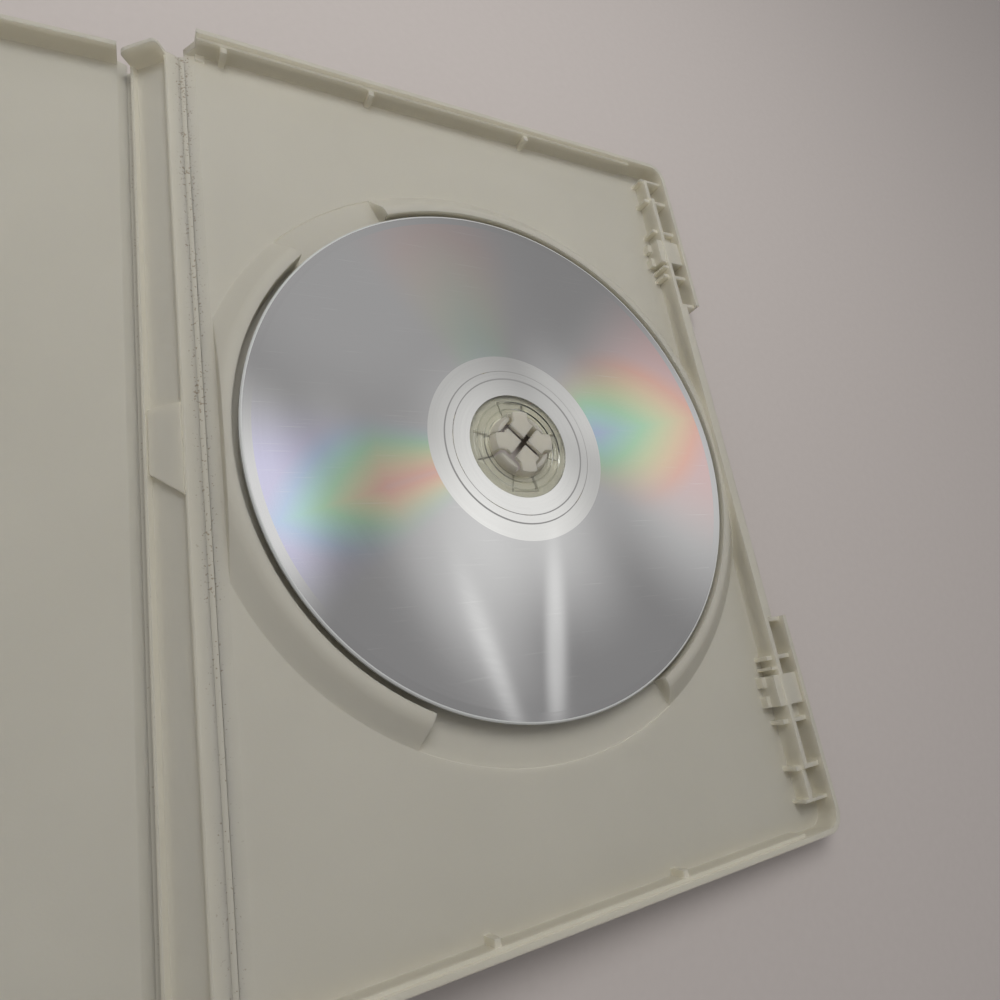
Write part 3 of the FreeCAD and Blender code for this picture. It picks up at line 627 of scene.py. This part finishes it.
# Pale panels of the studio that the disc mirrors, as soft ellipses. In degrees: the turn from the opening
# edge, the height, the lean, half the length and half the width. The core is the full share of an ellipse.
PANELS = (
    {"turn": 21.0, "height": 58.0, "lean": 0.0, "half_length": 15.0, "half_width": 6.0, "strength": 0.48},
    {"turn": 25.0, "height": 51.0, "lean": 0.0, "half_length": 14.5, "half_width": 8.0, "strength": 0.66},
    {"turn": 19.5, "height": 38.5, "lean": 0.0, "half_length": 16.0, "half_width": 8.5, "strength": 0.56},
    {"turn": 50.0, "height": 66.5, "lean": -38.0, "half_length": 12.0, "half_width": 5.5, "strength": 0.9},
    {"turn": 8.0, "height": 58.1, "lean": 5.0, "half_length": 12.0, "half_width": 1.0, "strength": 0.65},
    {"turn": 6.0, "height": 52.9, "lean": -15.0, "half_length": 11.0, "half_width": 1.2, "strength": 0.6},
    {"turn": 58.0, "height": 50.0, "lean": 0.0, "half_length": 18.0, "half_width": 14.0, "strength": 0.2},
    {"turn": 32.0, "height": 43.5, "lean": 0.0, "half_length": 7.0, "half_width": 3.0, "strength": 0.3},
    {"turn": 45.5, "height": 61.0, "lean": -38.0, "half_length": 8.0, "half_width": 3.5, "strength": 0.2},
)
PANEL_CORE = 0.2


def studio(colours):
    """A world of even light with the pale panels added to it."""
    made = bpy.data.worlds.new("Studio")
    made.use_nodes = True
    tree = made.node_tree
    tree.nodes.clear()
    looking = add_node(tree, "ShaderNodeTexCoord").outputs["Generated"]
    light = add_node(tree, "ShaderNodeBackground", {"Color": colours.dome}).outputs[0]
    for panel in PANELS:
        stance = Euler([math.radians(angle) for angle in (panel["lean"], -panel["height"], panel["turn"])])
        towards = Vector((1.0, 0.0, 0.0))
        towards.rotate(stance)
        spread = (1.0, math.radians(panel["half_length"]), math.radians(panel["half_width"]))
        across = add_node(tree, "ShaderNodeMapping", {
            "Vector": looking, "Location": towards, "Rotation": stance, "Scale": spread},
                          vector_type="TEXTURE")
        off = add_node(tree, "ShaderNodeVectorMath", {0: across.outputs[0]}, operation="LENGTH")
        amount = add_node(tree, "ShaderNodeMapRange", {
            "Value": off.outputs["Value"], "From Min": PANEL_CORE, "From Max": 1.0,
            "To Min": panel["strength"], "To Max": 0.0}, interpolation_type="SMOOTHSTEP")
        glow = add_node(tree, "ShaderNodeBackground", {"Strength": amount.outputs[0]})
        light = add_node(tree, "ShaderNodeAddShader", {0: light, 1: glow.outputs[0]}).outputs[0]
    add_node(tree, "ShaderNodeOutputWorld", {"Surface": light})
    return made


def soft_lamp(place):
    """A round lamp that the disc doesn't mirror."""
    glow = bpy.data.lights.new("soft_lamp", "AREA")
    glow.shape = "DISK"
    glow.size = place.width
    glow.energy = place.power
    made = bpy.data.objects.new("soft_lamp", glow)
    back = Vector(place.stand) - Vector(place.aim)
    turn = back.to_track_quat("Z", "Y").to_matrix().to_4x4()
    made.matrix_world = Matrix.Translation(place.stand) @ turn
    made.visible_glossy = False
    return made


def camera(place):
    """A camera with its place given in the tray's axes."""
    lens = bpy.data.cameras.new("camera")
    lens.sensor_width = SENSOR
    lens.lens = place.lens
    lens.clip_start = NEAREST
    made = bpy.data.objects.new("camera", lens)
    stand = TRAY_PLACE @ Vector(place.stand)
    back = (stand - TRAY_PLACE @ Vector(place.aim)).normalized()
    side = TRAY_Y.cross(back).normalized()
    level = Matrix((side, back.cross(side), back)).transposed()
    turn = level @ Matrix.Rotation(place.roll, 3, "Z")
    made.matrix_world = Matrix.Translation(stand) @ turn.to_4x4()
    return made


class DISCCASE_OT_moulding(bpy.types.Operator):
    """Gives the moulded pieces their finish and their softened edges"""
    bl_idname = "disc_case.moulding"
    bl_label = "Moulding"

    def execute(self, context):
        sizes = context.scene.case_sizes
        colours = context.scene.case_colours
        finish = moulding_finish("Moulded polypropylene, satin off-white", colours, glow=1.0)
        for name in MOULDED:
            piece = frame["nodes"][name]
            piece.data.materials.clear()
            piece.data.materials.append(finish)
            soften(piece, sizes.finger_round if name in FINGERS else sizes.edge_round)
            # The fingers are so thin that light comes through them into the hollow of the hub.
            piece.visible_shadow = name not in FINGERS
        return {"FINISHED"}


class DISCCASE_OT_hinge_films(bpy.types.Operator):
    """Builds the two films, bent across the folds, that join the tray, the spine and the cover"""
    bl_idname = "disc_case.hinge_films"
    bl_label = "Hinge films"

    def execute(self, context):
        sizes = context.scene.case_sizes
        finish = moulding_finish("Moulded polypropylene, bent thin", context.scene.case_colours, glow=0.0)
        films = (
            ("tray_hinge_film", "tray", "spine", TRAY_FOLD, TRAY_X, -SPINE_X),
            ("cover_hinge_film", "spine", "cover", COVER_FOLD, SPINE_X, COVER_X),
        )
        for node, right_body, left_body, fold, right, left in films:
            film = film_strip(node + "_strip", fold, right, left, sizes, finish)
            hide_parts(node)
            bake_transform(film)
        return {"FINISHED"}


class DISCCASE_OT_disc(bpy.types.Operator):
    """Builds the disc: the mirror part with its clear rim, and the clear middle"""
    bl_idname = "disc_case.disc"
    bl_label = "Disc"

    def execute(self, context):
        sizes = context.scene.disc_sizes
        colours = context.scene.case_colours
        for piece in (mirror_part(sizes, colours), clear_middle(sizes, colours)):
            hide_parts("disc")
            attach(piece, "tray")
        return {"FINISHED"}


class DISCCASE_OT_stage(bpy.types.Operator):
    """Sets up the floor, the lights and the camera"""
    bl_idname = "disc_case.stage"
    bl_label = "Stage"

    def execute(self, context):
        scene = context.scene
        shape = bmesh.new()
        bmesh.ops.create_grid(shape, x_segments=1, y_segments=1, size=FLOOR_REACH)
        finished("stage_floor", shape, [painted_table(scene.case_colours)])
        scene.world = studio(scene.case_colours)
        lamp = soft_lamp(scene.lamp_place)
        eye = camera(scene.camera_place)
        for thing in (lamp, eye):
            scene.collection.objects.link(thing)
        scene.camera = eye
        scene.view_settings.view_transform = "Standard"
        return {"FINISHED"}


class DISCCASE_PT_panel(bpy.types.Panel):
    """Lists the steps that finish the case"""
    bl_label = "Disc Case"
    bl_space_type = "VIEW_3D"
    bl_region_type = "UI"
    bl_category = "Disc Case"

    def draw(self, context):
        for step in STEPS:
            self.layout.operator(step.bl_idname)


STEPS = (DISCCASE_OT_moulding, DISCCASE_OT_hinge_films, DISCCASE_OT_disc, DISCCASE_OT_stage)
GROUPS = {
    "case_sizes": CaseSizes,
    "disc_sizes": DiscSizes,
    "case_colours": CaseColours,
    "lamp_place": LampPlace,
    "camera_place": CameraPlace,
}
CLASSES = tuple(GROUPS.values()) + STEPS + (DISCCASE_PT_panel,)


def register():
    """Registers the classes and gives the scene its sizes, colours and places."""
    for made in CLASSES:
        bpy.utils.register_class(made)
    for name, group in GROUPS.items():
        setattr(bpy.types.Scene, name, PointerProperty(type=group))


def unregister():
    """Takes back what register did."""
    for name in GROUPS:
        delattr(bpy.types.Scene, name)
    for made in reversed(CLASSES):
        bpy.utils.unregister_class(made)


def main():
    """Builds everything in order."""
    register()
    bpy.ops.disc_case.moulding()
    bpy.ops.disc_case.hinge_films()
    bpy.ops.disc_case.disc()
    bpy.ops.disc_case.stage()


if __name__ == "__main__":
    main()
